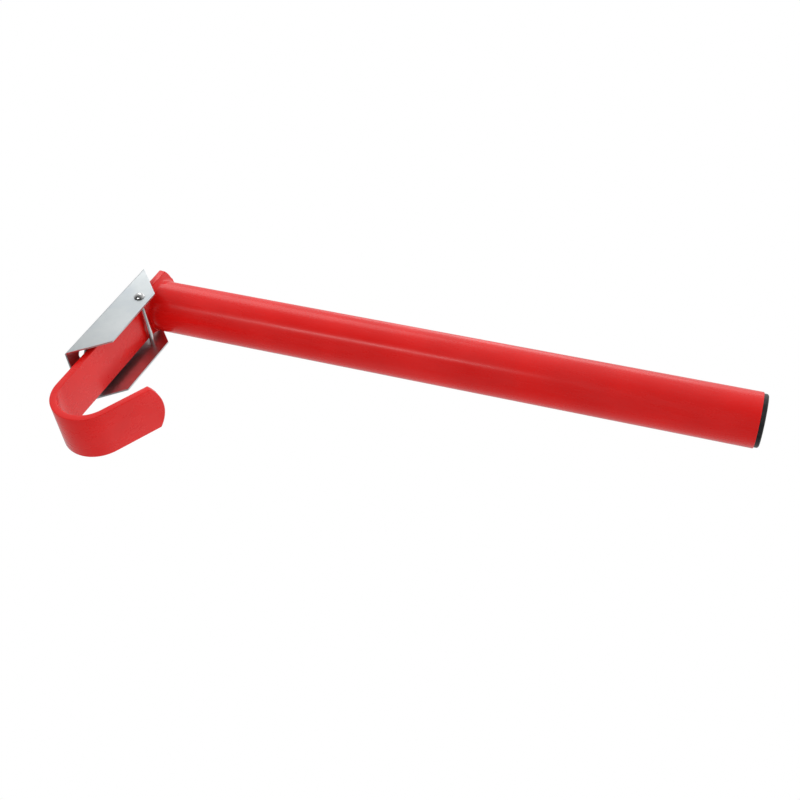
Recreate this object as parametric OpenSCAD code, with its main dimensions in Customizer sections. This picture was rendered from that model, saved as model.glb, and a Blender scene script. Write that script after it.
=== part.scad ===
// Folding wall rack for a saddle, with a hook for the bridle below it.
// A zinc-plated channel screws to the wall and traps a flat bar behind a cross pin.
// The bar carries a plastic-coated tube at its top end and is bent into a hook below.
// +X points out of the wall, +Z up. The origin is on the wall face, at the middle
// of the channel.

/* [Tube] */
// Outside diameter of the bare steel tube
tube_od = 41; // [34:1:42]
// Wall of the steel tube
tube_wall = 2; // [1.5:0.25:3]
// Length from the face of the hook bar to the coated end of the tube
reach = 494; // [300:1:620]
// Angle by which the tube rises above square to the bar
rise = 5.5; // [0:0.5:6]
// Sideways offset of the tube from the middle of the bar
tube_shift = 4; // [0:0.5:4]

/* [Hook bar] */
// Width of the bare flat bar
bar_w = 40; // [36:1:42]
// Thickness of the bare flat bar
bar_t = 4; // [3:0.5:5]
// Distance from the tube's axis down to the start of the hook's bend
hook_drop = 129; // [115:1:150]
// Inside radius of the coated bend
bend_r = 23; // [20:1:30]
// Angle through which the bar is bent
bend_angle = 151; // [90:1:165]
// Straight length after the bend, to the tip
hook_arm = 46; // [35:1:60]
// Height of the bar's top end above the tube's axis
bar_top = 23; // [17:0.5:24]
// Radius of the rounded outline at both ends of the bar
end_r = 34; // [26:1:60]

/* [Coating and weld] */
// Thickness of the plastic coating
coat = 0.75; // [0.5:0.05:1]
// Edge radius of the coated bar
coat_edge_r = 2; // [1.5:0.25:2.5]
// Leg of the weld between tube and bar
weld_leg = 3.5; // [2:0.5:4]

/* [Wall channel] */
// Length of the channel along the wall
channel_l = 110; // [100:1:140]
// Outside width of the channel
channel_w = 55; // [54:1:60]
// Depth of the channel out of the wall
channel_d = 28; // [24:1:30]
// Thickness of the sheet
sheet = 1.5; // [1:0.25:2]
// Rise of the sloping top end of each flange
slope_top = 24; // [16:1:28]
// Rise of the sloping bottom end of each flange
slope_bottom = 25; // [16:1:30]
// Diameter of the four screw holes
hole_d = 8.5; // [5:0.5:9]
// Distance between the screw holes across the web
hole_across = 28; // [24:1:32]
// Distance between the screw holes along the web
hole_along = 78; // [60:1:90]

/* [Cross pin] */
// Diameter of the pin
pin_d = 4; // [3:0.5:5]
// Distance of the pin's axis from the wall
pin_x = 18; // [17:0.5:20]
// Height of the pin's axis above the middle of the channel
pin_z = 23; // [18:1:26]
// Diameter of the domed head
head_d = 9; // [7:0.5:10]
// Height of the domed head
head_h = 2.4; // [1.5:0.1:3]
// Diameter of the riveted tail
tail_d = 6.5; // [6:0.5:8]

/* [End plug] */
// Diameter of the plug's lip
lip_d = 40.5; // [38:0.5:41]
// Thickness of the lip at its rim
lip_t = 3.6; // [2:0.1:4]
// Depth of the plug inside the tube
plug_depth = 22; // [12:1:30]
// Number of ribs round the plug
ribs = 4; // [2:1:5]

/* [Hidden] */
$fn = 64;

pin_hole_play = 0.05;             // radial play of the pin in its two holes
pin_end_play = 0.3;               // gap between a flange and each end of the pin
pin_to_bar = 1.5;                 // gap between the pin and the coated bar
pin_to_tube = 2.65;               // gap between the pin and the coated tube
sheet_bend_r = 1;                 // inside radius of the channel's two bends
tail_h = 1.6;
cap_t = 2.5;                      // depth of weld behind a tube end that overhangs the bar
spill = 0.5;                      // how far the weld stands past the bar's and tube's edges
corner_steps = 4;                 // flats round each rounded edge of the bar
tip_step = 0.01;                  // the hook's tip is this much slimmer all round than its bend
tip_lap = 0.3;                    // how far the tip's straight length reaches into the bend
big = 400;                        // wider than anything that it cuts

skin_t = bar_t + 2 * coat;        // the coated bar
skin_w = bar_w + 2 * coat;
tube_r = tube_od / 2;
skin_r = tube_r + coat;
bore_r = tube_r - tube_wall;
face_x = pin_x - pin_d / 2 - pin_to_bar;               // front face of the coated bar
axis_z = pin_z + pin_d / 2 + pin_to_tube + skin_r;     // tube's axis where it meets the bar
top_z = axis_z + bar_top;
bend_z = axis_z - hook_drop;

// Corner points of a rectangle with rounded corners, centred.
function rounded_outline(w, h, r) = [
    for (q = [0 : 3], i = [0 : corner_steps])
        let (a = 90 * (q + i / corner_steps), sx = q == 0 || q == 3 ? 1 : -1, sy = q < 2 ? 1 : -1)
            [sx * (w / 2 - r) + r * cos(a), sy * (h / 2 - r) + r * sin(a)]];

// Section across the bar, taken in by inset: thickness along X, width along Y.
module bar_section(inset) {
    polygon(rounded_outline(skin_t - 2 * inset, skin_w - 2 * inset, coat_edge_r - inset));
}

// Everything below the rounded end of a bar that reaches up to tip, far wider than the bar.
module below_end(tip, inset) {
    translate([0, 0, tip - end_r]) rotate([0, 90, 0])
        cylinder(r = end_r - inset, h = big, center = true);
    translate([-big / 2, -big / 2, tip - end_r - big]) cube([big, big, big]);
}

// One end of the bar: a straight length that stands along Z, from the bend at 0 up to tip.
// It can start below 0, to reach a little way into the bend.
module bar_straight(tip, inset, lap = 0) {
    intersection() {
        translate([0, 0, -lap]) linear_extrude(tip + 1 + lap) bar_section(inset);
        below_end(tip, inset);
    }
}

// The bar with its hook. inset 0 is the coated surface, inset coat is the steel.
module bar_body(inset) {
    translate([face_x - skin_t / 2, 0, bend_z]) bar_straight(top_z - bend_z, inset);
    translate([face_x + bend_r, 0, bend_z]) rotate([90, 0, 0]) {
        rotate([0, 0, 180]) rotate_extrude(angle = bend_angle)
            translate([bend_r + skin_t / 2, 0]) bar_section(inset);
        rotate([0, 0, 180 + bend_angle]) translate([bend_r + skin_t / 2, 0, 0])
            rotate([-90, 0, 0]) bar_straight(hook_arm, inset + tip_step, tip_lap);
    }
}

// Puts a child made along Z on the tube's axis, with 0 at the bar's coated face.
module on_tube_axis() {
    translate([face_x, tube_shift, axis_z]) rotate([0, 90 - rise, 0]) children();
}

// Solid round bar on the tube's axis, cut off flat at the distance back behind the face.
module tube_rod(r, length, back) {
    difference() {
        on_tube_axis() translate([0, 0, -2 * tube_r]) cylinder(r = r, h = length + 2 * tube_r);
        translate([face_x - back - big, -big / 2, axis_z - big / 2]) cube([big, big, big]);
    }
}

// Weld between the tube's end and the bar, grown by skin: a bead on the bar's face,
// and a cap behind the stretch of tube that overhangs the bar's edge.
module weld_body(skin) {
    weld_half = bar_w / 2 + spill + skin;
    intersection() {
        translate([face_x - coat + skin, tube_shift, axis_z]) rotate([0, 90, 0])
            rotate_extrude() polygon([[tube_r - 2, -skin - 0.5], [tube_r + weld_leg, -skin - 0.5],
                [tube_r + weld_leg, 0], [tube_r + skin, weld_leg], [tube_r - 2, weld_leg]]);
        below_end(top_z + spill, coat - skin - spill);
        translate([face_x - coat, -weld_half, 0]) cube([big, 2 * weld_half, big]);
    }
    translate([face_x - coat - cap_t - skin, tube_shift, axis_z]) rotate([0, 90, 0])
        cylinder(r = tube_r + spill + skin, h = cap_t + skin);
}

module hook_bar() {
    color("dimgray") bar_body(coat);
}

module saddle_tube() {
    color("gray") difference() {
        tube_rod(tube_r, reach - coat, coat);
        on_tube_axis() translate([0, 0, -2 * tube_r]) cylinder(r = bore_r, h = reach + 3 * tube_r);
    }
}

module weld_bead() {
    color("darkgray") difference() {
        weld_body(0);
        bar_body(coat);
        tube_rod(tube_r, reach - coat, coat);
    }
}

// The skin over bar, weld and tube, open only at the tube's end.
module plastic_coating() {
    color("red") difference() {
        union() {
            bar_body(0);
            tube_rod(skin_r, reach, coat);
            weld_body(coat);
        }
        bar_body(coat);
        tube_rod(tube_r, reach - coat, coat);
        weld_body(0);
        on_tube_axis() translate([0, 0, reach - 2]) cylinder(r = bore_r, h = 4);
    }
}

// Moulded plug: a domed lip over the tube's end and a ribbed skirt inside it.
module end_plug() {
    lip_r = lip_d / 2;
    rim_r = 1.6;
    skirt_r = bore_r - 0.6;
    skirt_wall = 2;
    rib_w = 1.2;
    rib_gap = (plug_depth - 4) / ribs;
    color("black") on_tube_axis() translate([0, 0, reach]) difference() {
        union() {
            cylinder(r = lip_r, h = lip_t - rim_r);
            translate([0, 0, lip_t - rim_r]) rotate_extrude() {
                translate([lip_r - rim_r, 0]) intersection() {
                    circle(rim_r);
                    square(rim_r);
                }
                square([lip_r - rim_r, rim_r]);
            }
            translate([0, 0, -plug_depth]) cylinder(r = skirt_r, h = plug_depth + 0.5);
            for (i = [0 : ribs - 1])
                translate([0, 0, -3 - i * rib_gap]) cylinder(r = bore_r - 0.05, h = rib_w);
        }
        translate([0, 0, -plug_depth - 1]) cylinder(r = skirt_r - skirt_wall, h = plug_depth + 1);
    }
}

// Section across the channel: web on the wall, a flange along each side.
module channel_section() {
    outer_r = sheet + sheet_bend_r;
    half = channel_w / 2;
    translate([0, outer_r - half]) square([sheet, channel_w - 2 * outer_r]);
    for (s = [0, 1]) mirror([0, s, 0]) {
        translate([outer_r, half - sheet]) square([channel_d - outer_r, sheet]);
        translate([outer_r, half - outer_r]) difference() {
            intersection() {
                circle(outer_r);
                translate([-outer_r, 0]) square(outer_r);
            }
            circle(sheet_bend_r);
        }
    }
}

module wall_channel() {
    half_l = channel_l / 2;
    color("silver") difference() {
        translate([0, 0, -half_l]) linear_extrude(channel_l) channel_section();
        // the sloping ends of the flanges
        translate([0, channel_w / 2 + 1, 0]) rotate([90, 0, 0]) linear_extrude(channel_w + 2) {
            polygon([[sheet, half_l], [channel_d + 1, half_l - slope_top - 1],
                     [channel_d + 1, half_l + 1], [sheet, half_l + 1]]);
            polygon([[sheet, -half_l], [channel_d + 1, slope_bottom + 1 - half_l],
                     [channel_d + 1, -half_l - 1], [sheet, -half_l - 1]]);
        }
        for (y = [-1, 1] * hole_across / 2, z = [-1, 1] * hole_along / 2)
            translate([sheet / 2, y, z]) rotate([0, 90, 0])
                cylinder(d = hole_d, h = sheet + 2, center = true);
        translate([pin_x, 0, pin_z]) rotate([90, 0, 0])
            cylinder(r = pin_d / 2 + pin_hole_play, h = channel_w + 2, center = true);
    }
}

// Loose rivet through both flanges, domed at one end and riveted over at the other.
module pivot_pin() {
    reach_y = channel_w / 2 + pin_end_play;
    dome_r = (head_d * head_d / 4 + head_h * head_h) / (2 * head_h);
    color("gainsboro") translate([pin_x, 0, pin_z]) rotate([90, 0, 0]) {
        cylinder(d = pin_d, h = 2 * reach_y, center = true);
        translate([0, 0, reach_y]) intersection() {
            translate([0, 0, head_h - dome_r]) sphere(dome_r);
            cylinder(d = head_d + 1, h = head_h + 1);
        }
        translate([0, 0, -reach_y - tail_h]) cylinder(d = tail_d, h = tail_h);
    }
}

wall_channel();
pivot_pin();
hook_bar();
saddle_tube();
weld_bead();
plastic_coating();
end_plug();
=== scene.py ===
# Looks of the folding wall saddle rack: the dipped arm, the zinc wall channel,
# the cross pin, the end plug and the steel under the coating.
from math import asin, cos, pi, radians, sin

import bmesh
import bpy
from bpy.props import FloatProperty, FloatVectorProperty, IntProperty, PointerProperty
from mathutils import Matrix, Vector


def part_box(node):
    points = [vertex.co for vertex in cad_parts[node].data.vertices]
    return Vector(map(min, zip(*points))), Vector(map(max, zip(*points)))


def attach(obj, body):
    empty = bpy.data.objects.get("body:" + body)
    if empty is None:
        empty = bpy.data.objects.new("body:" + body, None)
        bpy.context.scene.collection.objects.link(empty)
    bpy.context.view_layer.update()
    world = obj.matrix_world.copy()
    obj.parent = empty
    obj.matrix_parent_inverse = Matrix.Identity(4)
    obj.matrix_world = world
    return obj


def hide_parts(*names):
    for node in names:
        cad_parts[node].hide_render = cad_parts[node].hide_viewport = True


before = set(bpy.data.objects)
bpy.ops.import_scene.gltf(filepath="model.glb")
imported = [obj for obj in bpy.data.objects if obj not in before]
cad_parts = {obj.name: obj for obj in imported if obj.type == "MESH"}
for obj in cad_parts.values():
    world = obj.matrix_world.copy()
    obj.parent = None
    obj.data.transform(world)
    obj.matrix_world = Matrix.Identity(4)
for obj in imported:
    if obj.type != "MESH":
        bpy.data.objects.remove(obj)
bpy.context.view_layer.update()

bl_info = {
    "name": "Wall Saddle Rack",
    "version": (1, 0, 0),
    "blender": (4, 5, 0),
    "location": "View3D > Sidebar > Saddle Rack",
    "description": "Models and finishes a folding wall saddle rack with a bridle hook",
    "category": "Object",
}

CHANNEL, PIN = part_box("wall_channel"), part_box("pivot_pin")
NEAR = 1e-5  # how close to a plane a vertex counts as lying on it


# ---------------------------------------------------------------- sizes and colours

def length(name, description, default):
    return FloatProperty(name=name, description=description, default=default,
                         min=0.0, unit="LENGTH", subtype="DISTANCE", precision=5)


def angle(name, description, default):
    return FloatProperty(name=name, description=description, default=default,
                         unit="ROTATION", subtype="ANGLE")


def colour(name, description, default):
    return FloatVectorProperty(name=name, description=description, default=default,
                               size=3, min=0.0, max=1.0, subtype="COLOR")


def level(name, description, default):
    return FloatProperty(name=name, description=description, default=default, min=0.0)


class ArmSizes(bpy.types.PropertyGroup):
    """Sizes of the dipped arm: the flat bar with its hook, the tube and the weld"""
    bar_thickness: length("Bar thickness", "Thickness of the coated bar", 0.0055)
    bar_width: length("Bar width", "Width of the coated bar", 0.0415)
    bar_face: length("Bar face", "Distance of the bar's front face from the wall", 0.0145)
    edge_radius: length("Edge radius", "Rounding of the coated bar's edges", 0.002)
    end_radius: length("End radius", "Radius of the bar's rounded ends, seen square on", 0.034)
    bend_radius: length("Bend radius", "Inside radius of the hook", 0.023)
    bend_angle: angle("Bend angle", "Angle that the hook turns through", radians(151))
    tip_length: length("Tip length", "Straight length after the bend", 0.046)
    tube_radius: length("Tube radius", "Outside radius of the coated tube", 0.02125)
    tube_reach: length("Tube reach", "Length of the tube from the bar's face", 0.494)
    tube_height: length("Tube height", "Height of the tube's axis at the bar's face", 0.0489)
    tube_shift: length("Tube shift", "Sideways offset of the tube on the bar", 0.004)
    tube_rise: angle("Tube rise", "Angle of the tube above square to the bar", radians(5.5))
    hook_drop: length("Hook drop", "Height from the start of the bend up to the tube's axis", 0.129)
    bar_top: length("Bar top", "Height of the bar's end above the tube's axis", 0.023)
    coat: length("Coating", "Thickness of the dipped plastic", 0.00075)
    tube_wall: length("Tube wall", "Thickness of the steel tube's wall", 0.002)
    fillet: length("Weld fillet", "Radius of the hollow fillet over the weld", 0.0042)
    weld_cap: length("Weld cap", "Depth of weld behind the tube's overhang", 0.0025)
    fillet_spill: length("Fillet spill", "How far the weld stands past the bar's edge", 0.0005)
    rim_round: length("Rim rounding", "Rounding of the coating at the tube's open end", 0.0006)


class FittingSizes(bpy.types.PropertyGroup):
    """Sizes of the wall channel, the cross pin and the end plug"""
    sheet: length("Sheet", "Thickness of the channel's sheet", 0.0015)
    sheet_bend: length("Sheet bend", "Inside radius of the channel's two bends", 0.001)
    slope_top: length("Top slope", "Rise of the sloping top end of each flange", 0.024)
    slope_bottom: length("Bottom slope", "Rise of the sloping bottom end of each flange", 0.025)
    hole_radius: length("Screw hole radius", "Radius of the four screw holes", 0.00425)
    hole_across: length("Holes across", "Distance between the holes across the web", 0.028)
    hole_along: length("Holes along", "Distance between the holes along the web", 0.078)
    sheared_edge: length("Sheared edge", "Softening of the sheet's cut edges", 0.00022)
    pin_radius: length("Pin radius", "Radius of the cross pin", 0.002)
    pin_height: length("Pin height", "Height of the pin above the channel's middle", 0.023)
    pin_depth: length("Pin depth", "Distance of the pin from the wall", 0.018)
    pin_hole: length("Pin hole radius", "Radius of the pin's holes", 0.00205)
    head_height: length("Head height", "Height of the pin's domed head", 0.0024)
    tail_radius: length("Tail radius", "Radius of the pin's riveted tail", 0.00325)
    tail_height: length("Tail height", "Height of the riveted tail", 0.0016)
    lip_radius: length("Lip radius", "Radius of the plug's lip", 0.02025)
    lip_thickness: length("Lip thickness", "Thickness of the plug's lip", 0.0036)
    plug_depth: length("Plug depth", "Depth of the plug inside the tube", 0.022)
    ribs: IntProperty(name="Ribs", description="Ribs round the plug's skirt", default=4, min=2, max=5)


class Finishes(bpy.types.PropertyGroup):
    """Base colours of the rack's finishes"""
    red: colour("Dipped red", "Colour of the plastic coating", (0.690, 0.0060, 0.0045))
    red_deep: colour("Deep red", "Colour where the coating lies thick", (0.620, 0.0050, 0.0040))
    zinc: colour("Zinc", "Colour of the bright zinc plate", (0.760, 0.800, 0.810))
    zinc_dull: colour("Dull zinc", "Colour of the plate where it has dulled", (0.600, 0.650, 0.670))
    pin_steel: colour("Pin", "Colour of the bright pin", (0.900, 0.905, 0.900))
    black: colour("Black plug", "Colour of the moulded plug", (0.0130, 0.0130, 0.0140))
    steel: colour("Bare steel", "Colour of the steel under the coating", (0.300, 0.300, 0.310))
    scale: colour("Mill scale", "Colour of the dark scale on the steel", (0.110, 0.105, 0.105))


class StageSizes(bpy.types.PropertyGroup):
    """Floor, lights and camera"""
    floor_drop: length("Floor drop", "Depth of the floor below the channel's middle", 1.05)
    lens: FloatProperty(name="Lens", description="Focal length on a 36 mm sensor", default=48.976,
                        min=1.0, unit="CAMERA")
    sky: level("Sky", "Strength of the soft light from the surroundings", 1.32)
    room_low: level("Room below", "Brightness of reflections from below", 0.02)
    room_high: level("Room above", "Brightness of reflections from above", 0.70)
    key: level("Key light", "Power of the large upper softbox", 3.2)
    top: level("Top light", "Power of the softbox overhead", 1.0)
    front: level("Front light", "Power of the narrow front softbox", 1.5)


# ---------------------------------------------------------------- shop-floor helpers

def lay_down_tools():
    """Leaves edit mode and deselects everything."""
    if bpy.context.object and bpy.context.object.mode != "OBJECT":
        bpy.ops.object.mode_set(mode="OBJECT")
    bpy.ops.object.select_all(action="DESELECT")


def pick_up(piece):
    lay_down_tools()
    bpy.context.view_layer.objects.active = piece
    piece.select_set(True)
    return piece


def start(name):
    """Names the primitive that was just added and puts its place into its mesh."""
    piece = bpy.context.object
    piece.name = piece.data.name = name
    bpy.ops.object.transform_apply(location=True, rotation=True, scale=True)
    return piece


def block(name, low, high):
    lay_down_tools()
    low, high = Vector(low), Vector(high)
    bpy.ops.mesh.primitive_cube_add(size=1, location=(low + high) / 2, scale=high - low)
    return start(name)


def rod(name, radius, a, b, sides=192):
    """Round bar from a to b."""
    lay_down_tools()
    a, b = Vector(a), Vector(b)
    turn = (b - a).to_track_quat("Z", "Y").to_euler()
    bpy.ops.mesh.primitive_cylinder_add(vertices=sides, radius=radius, depth=(b - a).length,
                                        location=(a + b) / 2, rotation=turn)
    return start(name)


def edit(piece, mode="FACE"):
    pick_up(piece)
    bpy.ops.object.mode_set(mode="EDIT")
    bpy.ops.mesh.select_mode(type=mode)
    bpy.ops.mesh.select_all(action="DESELECT")
    return bmesh.from_edit_mesh(piece.data)


def choose(piece, mesh, items, test):
    """Selects the faces, edges or vertices for which test is true."""
    for item in items:
        if test(item):
            item.select = True
    mesh.select_flush_mode()
    bmesh.update_edit_mesh(piece.data)


def leave():
    bpy.ops.object.mode_set(mode="OBJECT")


def apply(piece, kind, **settings):
    """Adds one modifier and applies it."""
    pick_up(piece)
    m = piece.modifiers.new(kind.title(), kind)
    for key, value in settings.items():
        setattr(m, key, value)
    bpy.ops.object.modifier_apply(modifier=m.name)
    return piece


def combine(piece, tool, operation):
    """Joins, cuts or trims piece with tool, and puts the tool away."""
    apply(piece, "BOOLEAN", operation=operation, object=tool, solver="EXACT")
    bpy.data.objects.remove(tool, do_unlink=True)
    return piece


def clean(piece, distance=2e-6):
    """Merges doubles and turns every face outwards."""
    edit(piece)
    bpy.ops.mesh.select_all(action="SELECT")
    bpy.ops.mesh.remove_doubles(threshold=distance)
    bpy.ops.mesh.dissolve_degenerate(threshold=distance)
    bpy.ops.mesh.normals_make_consistent(inside=False)
    leave()
    return piece


def smooth(piece, degrees=35):
    pick_up(piece)
    bpy.ops.object.shade_smooth_by_angle(angle=radians(degrees))
    return piece


def round_rim(piece, foot, way, reach, radius, steps):
    """Rounds the edge at the far end of a rod that starts at foot."""
    m = edit(piece, "EDGE")
    choose(piece, m, m.edges, lambda e: all((v.co - foot).dot(way) > reach - NEAR for v in e.verts))
    bpy.ops.mesh.bevel(offset=radius, segments=steps)
    leave()


def draw_out(move, scale, about):
    """Extrudes the chosen face by move, then scales it about a point."""
    bpy.ops.mesh.extrude_region_move(TRANSFORM_OT_translate={"value": move})
    bpy.ops.transform.resize(value=scale, center_override=about)


def drill(piece, radius, at, half, sides=192):
    """Drills a round hole that runs half to either side of at."""
    return combine(piece, rod("drill", radius, at - half, at + half, sides), "DIFFERENCE")


def soften(piece, width, steps=3, degrees=40):
    return apply(piece, "BEVEL", width=width, segments=steps, limit_method="ANGLE",
                 angle_limit=radians(degrees), use_clamp_overlap=True, miter_outer="MITER_ARC")


def finish_piece(piece, body, node, material):
    piece.data.materials.clear()
    piece.data.materials.append(material)
    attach(piece, body)
    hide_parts(node)


# ---------------------------------------------------------------- finishes

class Finish:
    """One node material, built socket by socket."""

    def __init__(self, name):
        self.material = bpy.data.materials.new(name)
        self.material.use_nodes = True
        self.tree = self.material.node_tree
        self.shader = self.tree.nodes["Principled BSDF"]
        self.place = self.node("ShaderNodeTexCoord").outputs["Object"]

    def node(self, kind, **settings):
        n = self.tree.nodes.new(kind)
        for key, value in settings.items():
            setattr(n, key, value)
        return n

    def set(self, **values):
        for key, value in values.items():
            self.shader.inputs[key.replace("_", " ")].default_value = value

    def link(self, a, b):
        self.tree.links.new(a, b)

    def stretched(self, scale):
        m = self.node("ShaderNodeMapping")
        m.inputs["Scale"].default_value = scale
        self.link(self.place, m.inputs["Vector"])
        return m.outputs["Vector"]

    def noise(self, scale, detail=3.0, rough=0.5, along=None):
        n = self.node("ShaderNodeTexNoise")
        n.inputs["Scale"].default_value = scale
        n.inputs["Detail"].default_value = detail
        n.inputs["Roughness"].default_value = rough
        self.link(along or self.place, n.inputs["Vector"])
        return n.outputs["Fac"]

    def spread(self, value, low, high, to_low, to_high):
        n = self.node("ShaderNodeMapRange")
        for i, v in enumerate((low, high, to_low, to_high), 1):
            n.inputs[i].default_value = v
        self.link(value, n.inputs[0])
        return n.outputs[0]

    def math(self, operation, a, b):
        n = self.node("ShaderNodeMath", operation=operation)
        for socket, v in zip(n.inputs, (a, b)):
            if isinstance(v, float):
                socket.default_value = v
            else:
                self.link(v, socket)
        return n.outputs[0]

    def mix(self, factor, a, b):
        n = self.node("ShaderNodeMix", data_type="RGBA")
        self.link(factor, n.inputs["Factor"])
        for socket, v in ((n.inputs[6], a), (n.inputs[7], b)):
            if isinstance(v, bpy.types.NodeSocket):
                self.link(v, socket)
            else:
                socket.default_value = (*v, 1)
        return n.outputs[2]

    def edge_wear(self, low=0.52, high=0.62):
        """Near 1 on outward edges, 0 on flats."""
        pointed = self.node("ShaderNodeNewGeometry").outputs["Pointiness"]
        return self.spread(pointed, low, high, 0.0, 1.0)

    def bump(self, height, strength, distance, after=None):
        n = self.node("ShaderNodeBump")
        n.inputs["Strength"].default_value = strength
        n.inputs["Distance"].default_value = distance
        self.link(height, n.inputs["Height"])
        if after:
            self.link(after, n.inputs["Normal"])
        return n.outputs["Normal"]

    def to(self, socket, value):
        self.link(value, self.shader.inputs[socket])


def dipped_plastic(colours):
    """Glossy dipped plastic: slow waves, a fine orange peel, and rub marks."""
    f = Finish("dipped_red_plastic")
    f.set(IOR=1.46, Coat_Weight=0.10, Coat_Roughness=0.15, Coat_IOR=1.5)
    tone = f.spread(f.noise(22, 4), 0.35, 0.65, 0.0, 1.0)
    base = f.mix(tone, tuple(colours.red), tuple(colours.red_deep))
    worn = f.math("MULTIPLY", f.edge_wear(0.53, 0.66),
                  f.spread(f.noise(160, 5), 0.45, 0.62, 0.0, 0.30))
    f.to("Base Color", f.mix(worn, base, tuple(min(1.0, c * 1.25 + 0.02) for c in colours.red)))
    rubs = f.noise(9, 5, 0.65, f.stretched((1.0, 6.0, 6.0)))
    f.to("Roughness", f.math("ADD", f.spread(rubs, 0.35, 0.70, 0.20, 0.34),
                             f.spread(f.noise(900, 2), 0.3, 0.7, 0.0, 0.015)))
    waves = f.bump(f.noise(38, 2, 0.4, f.stretched((0.55, 1.0, 1.0))), 0.22, 0.0005)
    peel = f.bump(f.noise(420, 2, 0.45), 0.03, 0.00005, waves)
    f.to("Normal", peel)
    return f.material


def bright_zinc(colours):
    """Bright zinc plate: rolling lines along the sheet, faint clouds and a fine grain."""
    f = Finish("bright_zinc_plate")
    f.set(Metallic=1.0)
    cloud = f.spread(f.noise(30, 5, 0.6), 0.35, 0.70, 0.0, 0.8)
    base = f.mix(cloud, tuple(colours.zinc), tuple(colours.zinc_dull))
    tint = f.spread(f.noise(60, 3, 0.5), 0.45, 0.75, 0.0, 0.35)
    f.to("Base Color", f.mix(tint, base, (0.66, 0.72, 0.80)))
    lines = f.noise(60, 4, 0.6, f.stretched((22.0, 22.0, 0.5)))
    wear = f.math("MULTIPLY", f.edge_wear(), 0.12)
    gloss = f.math("ADD", f.spread(cloud, 0.0, 0.8, 0.26, 0.34),
                   f.spread(lines, 0.35, 0.65, 0.0, 0.05))
    f.to("Roughness", f.math("ADD", gloss, wear))
    rolled = f.bump(lines, 0.07, 0.00004)
    f.to("Normal", f.bump(f.noise(260, 3, 0.5), 0.05, 0.00006, rolled))
    return f.material


def bright_pin(colours):
    """Plated rivet steel: turned rings round the shaft and fine handling marks."""
    f = Finish("bright_plated_pin")
    f.set(Metallic=1.0)
    marks = f.noise(420, 4, 0.6)
    f.to("Base Color", f.mix(f.spread(marks, 0.4, 0.75, 0.0, 0.5), tuple(colours.pin_steel),
                             (0.55, 0.56, 0.57)))
    f.to("Roughness", f.math("ADD", f.spread(marks, 0.35, 0.7, 0.16, 0.26),
                             f.math("MULTIPLY", f.edge_wear(), 0.08)))
    rings = f.noise(50, 2, 0.5, f.stretched((2.0, 60.0, 2.0)))
    f.to("Normal", f.bump(rings, 0.06, 0.00003))
    return f.material


def moulded_black(colours):
    """Moulded black plastic: fine texture, pale scuffs on the rim."""
    f = Finish("moulded_black_plastic")
    f.set(IOR=1.47)
    scuff = f.math("MULTIPLY", f.edge_wear(0.52, 0.60),
                   f.spread(f.noise(300, 4), 0.45, 0.65, 0.0, 0.5))
    tone = f.mix(f.spread(f.noise(90, 3), 0.35, 0.7, 0.0, 1.0), tuple(colours.black),
                 tuple(c * 1.7 for c in colours.black))
    f.to("Base Color", f.mix(scuff, tone, (0.09, 0.09, 0.09)))
    f.to("Roughness", f.spread(f.noise(240, 3), 0.3, 0.7, 0.34, 0.48))
    f.to("Normal", f.bump(f.noise(2400, 2), 0.22, 0.00005))
    return f.material


def mill_steel(colours, name, heat):
    """Hot-rolled steel: patches of dark scale; heat sets how blued and rough it is."""
    f = Finish(name)
    f.set(Metallic=1.0)
    patches = f.spread(f.noise(45, 6, 0.65), 0.40, 0.62, 0.0, 1.0)
    base = f.mix(patches, tuple(colours.steel), tuple(colours.scale))
    f.to("Base Color", f.mix(f.spread(f.noise(130, 3), 0.4, 0.7, 0.0, heat), base,
                             (0.16, 0.12, 0.17)))
    f.to("Roughness", f.spread(patches, 0.0, 1.0, 0.34 + heat * 0.1, 0.58 + heat * 0.1))
    f.to("Normal", f.bump(f.noise(650, 4, 0.6), 0.25 + heat * 0.4, 0.00012))
    return f.material


# ---------------------------------------------------------------- the dipped arm

def flat_bar(name, s, inset):
    """The bar bent into its hook, with rounded ends and edges, taken in by inset."""
    thick, wide = s.bar_thickness - 2 * inset, s.bar_width - 2 * inset
    top, bend = s.tube_height + s.bar_top, s.tube_height - s.hook_drop
    middle = s.bar_face - s.bar_thickness / 2
    centre = Vector((s.bar_face + s.bend_radius, 0, bend))
    spare = 0.006  # extra length at both ends, for the arcs to trim
    bar = block(name, (middle - thick / 2, -wide / 2, bend),
                (middle + thick / 2, wide / 2, top + spare))
    # draw the lower face round the bend and out along the tip
    m = edit(bar)
    choose(bar, m, m.faces, lambda f: f.normal.z < -0.9)
    bpy.ops.mesh.spin(steps=72, angle=s.bend_angle, center=centre, axis=(0, 1, 0))
    along = Vector((sin(s.bend_angle), 0, -cos(s.bend_angle)))
    tip = along * (s.tip_length + spare)
    bpy.ops.mesh.extrude_region_move(TRANSFORM_OT_translate={"value": tip})
    leave()
    clean(bar)
    round_end(bar, Vector((middle, 0, top)), Vector((0, 0, 1)), s.end_radius, inset)
    outwards = Vector((-cos(s.bend_angle), 0, -sin(s.bend_angle)))
    root = centre + outwards * (s.bend_radius + s.bar_thickness / 2)
    round_end(bar, root + along * s.tip_length, along, s.end_radius, inset)
    soften(bar, s.edge_radius - inset, steps=5, degrees=50)
    return clean(bar)


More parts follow.
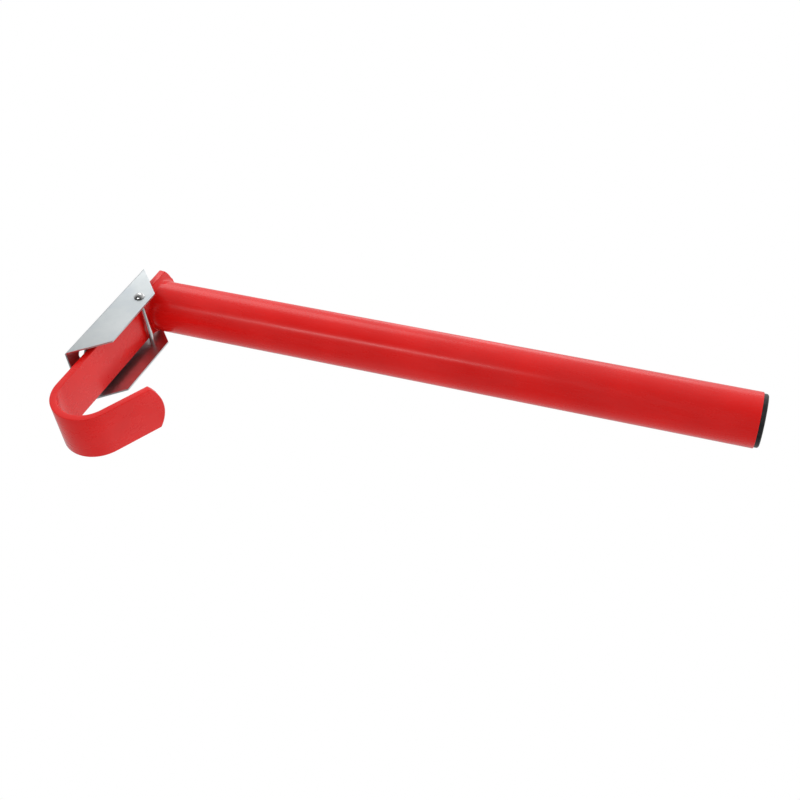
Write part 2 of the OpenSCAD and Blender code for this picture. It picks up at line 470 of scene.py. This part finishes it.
def round_end(bar, end, way, radius, inset):
    """Trims a bar that ends near end, facing way, to an arc of the given radius."""
    reach, half, past, over = 0.012, 0.03, 0.02, 0.002  # of the waste block and its arc
    axis = Vector((0, 1, 0)).cross(way)
    hub = end - way * radius
    turn = Matrix((axis, (0, 1, 0), way)).transposed().to_4x4()
    waste = block("end_waste", (-reach, -half, 0.0), (reach, half, radius + past))
    waste.data.transform(Matrix.Translation(hub) @ turn)
    drill(waste, radius - inset, hub, axis * (reach + over), 256)
    combine(bar, waste, "DIFFERENCE")


def tube_axis(s):
    """Where the tube's axis meets the bar's face, and its direction."""
    foot = Vector((s.bar_face, s.tube_shift, s.tube_height))
    return foot, Vector((cos(s.tube_rise), 0, sin(s.tube_rise)))


def round_tube(name, s, radius, reach, back, rim=0.0):
    """Solid round bar on the tube's axis, cut flat behind the bar's face by back."""
    foot, way = tube_axis(s)
    spare = 0.03  # length behind the face, for the cut to trim
    tube = rod(name, radius, foot - way * spare, foot + way * reach)
    if rim:
        round_rim(tube, foot, way, reach, rim, 5)
    edit(tube)
    bpy.ops.mesh.select_all(action="SELECT")
    bpy.ops.mesh.bisect(plane_co=(s.bar_face - back, 0, 0), plane_no=(1, 0, 0),
                        use_fill=True, clear_inner=True)
    leave()
    return clean(tube)


def weld_fillet(name, s, skin):
    """Hollow fillet round the tube on the bar's face, and the cap behind its overhang."""
    radius, leg = s.tube_radius - s.coat + skin, s.fillet - (s.coat - skin)
    face = s.bar_face - s.coat + skin
    hub = Vector((0, s.tube_shift, s.tube_height))
    embed = 0.001  # depth of the fillet's foot inside the bar
    ring = rod(name, radius + leg, hub + Vector((face - embed, 0, 0)), hub + Vector((face, 0, 0)))
    # draw the fillet out from the bar's face in steps, closing in on the tube
    m = edit(ring)
    choose(ring, m, m.faces, lambda f: f.normal.x > 0.9)
    steps = 12
    was = radius + leg
    for i in range(1, steps + 1):
        a, before = pi / 2 * i / steps, pi / 2 * (i - 1) / steps
        now = radius + leg * (1 - sin(a))
        draw_out((leg * (cos(before) - cos(a)), 0, 0), (1, now / was, now / was),
                 hub + Vector((face, 0, 0)))
        was = now
    leave()
    clean(ring)
    # trim it to the bar's outline, a little proud of the edge
    proud = skin - s.coat + s.fillet_spill
    half, top = s.bar_width / 2 + proud, s.tube_height + s.bar_top
    behind, ahead = 0.005, 0.01
    trim = block("weld_trim", (face - behind, -half, 0), (face + ahead, half, top + ahead))
    round_end(trim, Vector((face, 0, top)), Vector((0, 0, 1)), s.end_radius, -proud)
    combine(ring, trim, "INTERSECT")
    clean(ring)
    # the cap behind the stretch of tube that overhangs the bar's edge
    front = s.bar_face - s.coat
    cap = rod("weld_cap", radius + s.fillet_spill,
              hub + Vector((front - s.weld_cap - skin, 0, 0)), hub + Vector((front, 0, 0)))
    cap_round = 0.0008
    soften(cap, cap_round, steps=4, degrees=50)
    return clean(combine(ring, cap, "UNION"))


def hollow(skin, s):
    """Clears out of the skin what the bar, the tube and the weld fill."""
    core = flat_bar("arm_core", s, s.coat)
    combine(core, round_tube("tube_core", s, s.tube_radius - s.coat, s.tube_reach - s.coat, s.coat),
            "UNION")
    combine(core, weld_fillet("weld_core", s, 0.0), "UNION")
    combine(skin, clean(core), "DIFFERENCE")
    foot, way = tube_axis(s)
    opening = 0.002
    drill(skin, s.tube_radius - s.coat - s.tube_wall, foot + way * s.tube_reach, way * opening)
    return clean(skin)


class RACK_OT_coated_arm(bpy.types.Operator):
    """Model the dipped arm: one skin over the bar, the weld and the tube"""
    bl_idname = "rack.coated_arm"
    bl_label = "Coated Arm"

    def execute(self, context):
        s = context.scene.rack_arm
        skin = flat_bar("dipped_arm", s, 0.0)
        combine(skin, round_tube("tube_skin", s, s.tube_radius, s.tube_reach, s.coat, s.rim_round),
                "UNION")
        combine(skin, weld_fillet("weld_skin", s, s.coat), "UNION")
        clean(skin)
        hollow(skin, s)
        smooth(skin, 40)
        finish_piece(skin, "arm", "plastic_coating",
                     dipped_plastic(context.scene.rack_finishes))
        return {"FINISHED"}


# ---------------------------------------------------------------- channel, pin and plug

def round_back(piece, back, radius):
    """Rounds the two upright edges at the back of the channel or of its hollow."""
    m = edit(piece, "EDGE")
    choose(piece, m, m.edges, lambda e: all(v.co.x < back + NEAR for v in e.verts)
           and abs(e.verts[0].co.z - e.verts[1].co.z) > 0.01)
    bpy.ops.mesh.bevel(offset=radius, segments=8)
    leave()


class RACK_OT_wall_channel(bpy.types.Operator):
    """Fold the zinc channel from sheet, cut its ends on the slope and drill it"""
    bl_idname = "rack.wall_channel"
    bl_label = "Wall Channel"

    def execute(self, context):
        s = context.scene.rack_fittings
        low, high = CHANNEL
        clear, nudge = 0.01, 0.001  # how far the cutting blocks run past the sheet
        channel = block("zinc_channel", low, high)
        round_back(channel, low.x, s.sheet + s.sheet_bend)
        inner = block("channel_hollow", (low.x + s.sheet, low.y + s.sheet, low.z - clear),
                      (high.x + clear, high.y - s.sheet, high.z + clear))
        round_back(inner, low.x + s.sheet, s.sheet_bend)
        combine(channel, inner, "DIFFERENCE")
        # the sloping ends
        for z, rise, way in ((high.z, s.slope_top, 1), (low.z, s.slope_bottom, -1)):
            near, far = sorted((z, z + way * nudge))
            wedge = block("slope_wedge", (low.x + s.sheet, low.y - clear / 2, near),
                          (high.x + nudge, high.y + clear / 2, far))
            m = edit(wedge, "VERT")
            choose(wedge, m, m.verts, lambda v: v.co.x > high.x and abs(v.co.z - z) < NEAR)
            bpy.ops.transform.translate(value=(0, 0, -way * (rise + nudge)))
            leave()
            combine(channel, wedge, "DIFFERENCE")
        soften(clean(channel), s.sheared_edge, steps=2, degrees=50)
        clean(channel)
        for y in (-0.5, 0.5):
            for z in (-0.5, 0.5):
                drill(channel, s.hole_radius, Vector((0, y * s.hole_across, z * s.hole_along)),
                      Vector((0.01, 0, 0)), 64)
        drill(channel, s.pin_hole, Vector((s.pin_depth, 0, s.pin_height)), Vector((0, 0.04, 0)), 48)
        smooth(clean(channel), 30)
        apply(channel, "WEIGHTED_NORMAL", keep_sharp=True, weight=100)
        finish_piece(channel, "bracket", "wall_channel",
                     bright_zinc(context.scene.rack_finishes))
        return {"FINISHED"}


class RACK_OT_cross_pin(bpy.types.Operator):
    """Turn the cross pin: shaft, domed head and riveted tail"""
    bl_idname = "rack.cross_pin"
    bl_label = "Cross Pin"

    def execute(self, context):
        s = context.scene.rack_fittings
        low, high = PIN
        at = Vector((s.pin_depth, 0, s.pin_height))
        head_y, tail_y = low.y + s.head_height, high.y - s.tail_height
        head_r = (high.x - low.x) / 2
        pin = rod("cross_pin", s.pin_radius, at + Vector((0, head_y, 0)),
                  at + Vector((0, tail_y, 0)), 64)
        # spread the head out and dome it in rings
        m = edit(pin)
        choose(pin, m, m.faces, lambda f: f.normal.y < -0.9)
        grow = head_r / s.pin_radius
        draw_out((0, 0, 0), (grow, 1, grow), at + Vector((0, head_y, 0)))
        dome = (head_r ** 2 + s.head_height ** 2) / (2 * s.head_height)
        rest = asin(head_r / dome)
        was_r, was_h, rings = head_r, 0.0, 10
        for i in range(1, rings + 1):
            a = rest * (1 - i / (rings + 0.35))
            now_r, now_h = dome * sin(a), dome * cos(a) - (dome - s.head_height)
            draw_out((0, was_h - now_h, 0), (now_r / was_r, 1, now_r / was_r),
                     at + Vector((0, head_y - now_h, 0)))
            was_r, was_h = now_r, now_h
        # upset the tail and break its edge
        bpy.ops.mesh.select_all(action="DESELECT")
        m = bmesh.from_edit_mesh(pin.data)
        choose(pin, m, m.faces,
               lambda f: f.normal.y > 0.9 and f.calc_center_median().y > tail_y - NEAR)
        grow = s.tail_radius / s.pin_radius
        draw_out((0, 0, 0), (grow, 1, grow), at + Vector((0, tail_y, 0)))
        bpy.ops.mesh.extrude_region_move(TRANSFORM_OT_translate={"value": (0, s.tail_height, 0)})
        tail_round = 0.0005
        bpy.ops.mesh.bevel(offset=tail_round, segments=4)
        leave()
        smooth(clean(pin, 1e-7), 40)
        finish_piece(pin, "pin", "pivot_pin",
                     bright_pin(context.scene.rack_finishes))
        return {"FINISHED"}


class RACK_OT_end_plug(bpy.types.Operator):
    """Mould the end plug: rounded lip, hollow skirt and ribs"""
    bl_idname = "rack.end_plug"
    bl_label = "End Plug"

    def execute(self, context):
        s, a = context.scene.rack_fittings, context.scene.rack_arm
        foot, way = tube_axis(a)
        end = foot + way * a.tube_reach
        bore = a.tube_radius - a.coat - a.tube_wall
        skirt = bore - 0.0006
        skirt_wall, lip_round, rib_width, rib_play = 0.002, 0.00165, 0.0012, 0.00005
        first_rib, last_gap = 0.003, 0.004
        plug = rod("end_plug_moulding", s.lip_radius, end, end + way * s.lip_thickness, 160)
        round_rim(plug, end, way, s.lip_thickness, lip_round, 6)
        combine(plug, rod("skirt", skirt, end - way * s.plug_depth, end + way * 0.0005, 128), "UNION")
        gap = (s.plug_depth - last_gap) / s.ribs
        for i in range(s.ribs):
            b = end - way * (first_rib + i * gap)
            combine(plug, rod("rib", bore - rib_play, b, b + way * rib_width, 128), "UNION")
        combine(plug, rod("core", skirt - skirt_wall, end - way * (s.plug_depth + 0.001), end, 128),
                "DIFFERENCE")
        smooth(clean(plug), 35)
        finish_piece(plug, "arm", "end_plug",
                     moulded_black(context.scene.rack_finishes))
        return {"FINISHED"}


class RACK_OT_bare_steel(bpy.types.Operator):
    """Finish the steel that lies under the coating: bar, tube and weld"""
    bl_idname = "rack.bare_steel"
    bl_label = "Bare Steel"

    def execute(self, context):
        colours = context.scene.rack_finishes
        plain = mill_steel(colours, "mill_steel", 0.0)
        heated = mill_steel(colours, "heated_weld_steel", 0.6)
        for node, material in (("hook_bar", plain), ("saddle_tube", plain), ("weld_bead", heated)):
            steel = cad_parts[node]
            if not steel.material_slots:
                raise RuntimeError(f"{node} has no material slot")
            for place in steel.material_slots:
                place.material = material
        return {"FINISHED"}


# ---------------------------------------------------------------- stage

def softbox(name, at, aim, size, power):
    lamp = bpy.data.lights.new(name, "AREA")
    lamp.shape, lamp.size, lamp.size_y = "RECTANGLE", size[0], size[1]
    lamp.energy = power
    holder = bpy.data.objects.new(name, lamp)
    bpy.context.collection.objects.link(holder)
    holder.location = at
    holder.rotation_euler = (aim - at).to_track_quat("-Z", "Y").to_euler()


def pale_surroundings(s):
    """White behind the object, soft light on it from above, and a room that darkens
    towards the lower front in its reflections."""
    world = bpy.data.worlds.new("pale_surroundings")
    world.use_nodes = True
    tree = world.node_tree
    join = tree.links.new
    ray = tree.nodes.new("ShaderNodeLightPath").outputs
    brightest_way, darkest, brightest = (0, 0.5, 1), -0.8, 0.7
    way = tree.nodes.new("ShaderNodeVectorMath")
    way.operation = "DOT_PRODUCT"
    way.inputs[1].default_value = brightest_way
    join(tree.nodes.new("ShaderNodeTexCoord").outputs["Generated"], way.inputs[0])

    def shade(low, high):
        n = tree.nodes.new("ShaderNodeMapRange")
        for i, v in enumerate((darkest, brightest, low, high), 1):
            n.inputs[i].default_value = v
        join(way.outputs["Value"], n.inputs[0])
        return n.outputs[0]

    def switch(test, a, b):
        n = tree.nodes.new("ShaderNodeMix")
        join(test, n.inputs["Factor"])
        for socket, v in ((n.inputs["A"], a), (n.inputs["B"], b)):
            if isinstance(v, float):
                socket.default_value = v
            else:
                join(v, socket)
        return n.outputs["Result"]

    sky = shade(s.sky * 0.62, s.sky * 1.22)
    lit = switch(ray["Is Glossy Ray"], sky, shade(s.room_low, s.room_high))
    join(switch(ray["Is Camera Ray"], lit, 1.0), tree.nodes["Background"].inputs["Color"])
    return world


class RACK_OT_stage(bpy.types.Operator):
    """Set the pale floor, the soft lights and the camera"""
    bl_idname = "rack.stage"
    bl_label = "Stage"

    def execute(self, context):
        s = context.scene.rack_stage
        lay_down_tools()
        bpy.ops.mesh.primitive_plane_add(size=80, location=(0.25, 0, -s.floor_drop))
        floor = start("studio_floor")
        pale = Finish("pale_floor")
        pale.to("Base Color", pale.mix(pale.noise(3, 4), (0.86, 0.86, 0.86), (0.90, 0.90, 0.90)))
        pale.set(Roughness=0.8)
        floor.data.materials.append(pale.material)
        floor.visible_glossy = floor.visible_diffuse = False

        context.scene.world = pale_surroundings(s)
        context.scene.view_settings.view_transform = "Standard"

        middle = Vector((0.25, 0, 0.03))
        softbox("key_softbox", middle + Vector((-0.85, -0.90, 1.15)), middle, (1.2, 0.7), s.key)
        softbox("top_softbox", middle + Vector((-0.10, -0.15, 1.40)), middle, (0.9, 0.35), s.top)
        softbox("front_softbox", middle + Vector((-0.30, -1.00, -0.80)), middle, (0.70, 0.13), s.front)

        lens = bpy.data.cameras.new("camera")
        lens.sensor_width, lens.lens = 36, s.lens
        lens.clip_start, lens.clip_end = 0.05, 50
        camera = bpy.data.objects.new("camera", lens)
        context.collection.objects.link(camera)
        camera.location = (0.51683, -0.59512, -0.49689)
        camera.rotation_euler = (radians(132.6827), radians(-24.0403), radians(3.3408))
        context.scene.camera = camera
        return {"FINISHED"}


# ---------------------------------------------------------------- panel and registration

OPERATORS = (RACK_OT_coated_arm, RACK_OT_wall_channel, RACK_OT_cross_pin, RACK_OT_end_plug,
             RACK_OT_bare_steel, RACK_OT_stage)
GROUPS = (("rack_arm", ArmSizes), ("rack_fittings", FittingSizes), ("rack_finishes", Finishes),
          ("rack_stage", StageSizes))


class RACK_PT_panel(bpy.types.Panel):
    """Lists the rack's pieces and their sizes"""
    bl_idname = "RACK_PT_panel"
    bl_label = "Saddle Rack"
    bl_space_type = "VIEW_3D"
    bl_region_type = "UI"
    bl_category = "Saddle Rack"

    def draw(self, context):
        for operator in OPERATORS:
            self.layout.operator(operator.bl_idname)
        for name, group in GROUPS:
            box = self.layout.box()
            for key in group.__annotations__:
                box.prop(getattr(context.scene, name), key)


def register():
    for cls in (*(group for _, group in GROUPS), *OPERATORS, RACK_PT_panel):
        bpy.utils.register_class(cls)
    for name, group in GROUPS:
        setattr(bpy.types.Scene, name, PointerProperty(type=group))


def unregister():
    for name, _ in GROUPS:
        delattr(bpy.types.Scene, name)
    for cls in (RACK_PT_panel, *reversed(OPERATORS), *(group for _, group in reversed(GROUPS))):
        bpy.utils.unregister_class(cls)


def main():
    register()
    for operator in OPERATORS:
        group, name = operator.bl_idname.split(".")
        getattr(getattr(bpy.ops, group), name)()


if __name__ == "__main__":
    main()
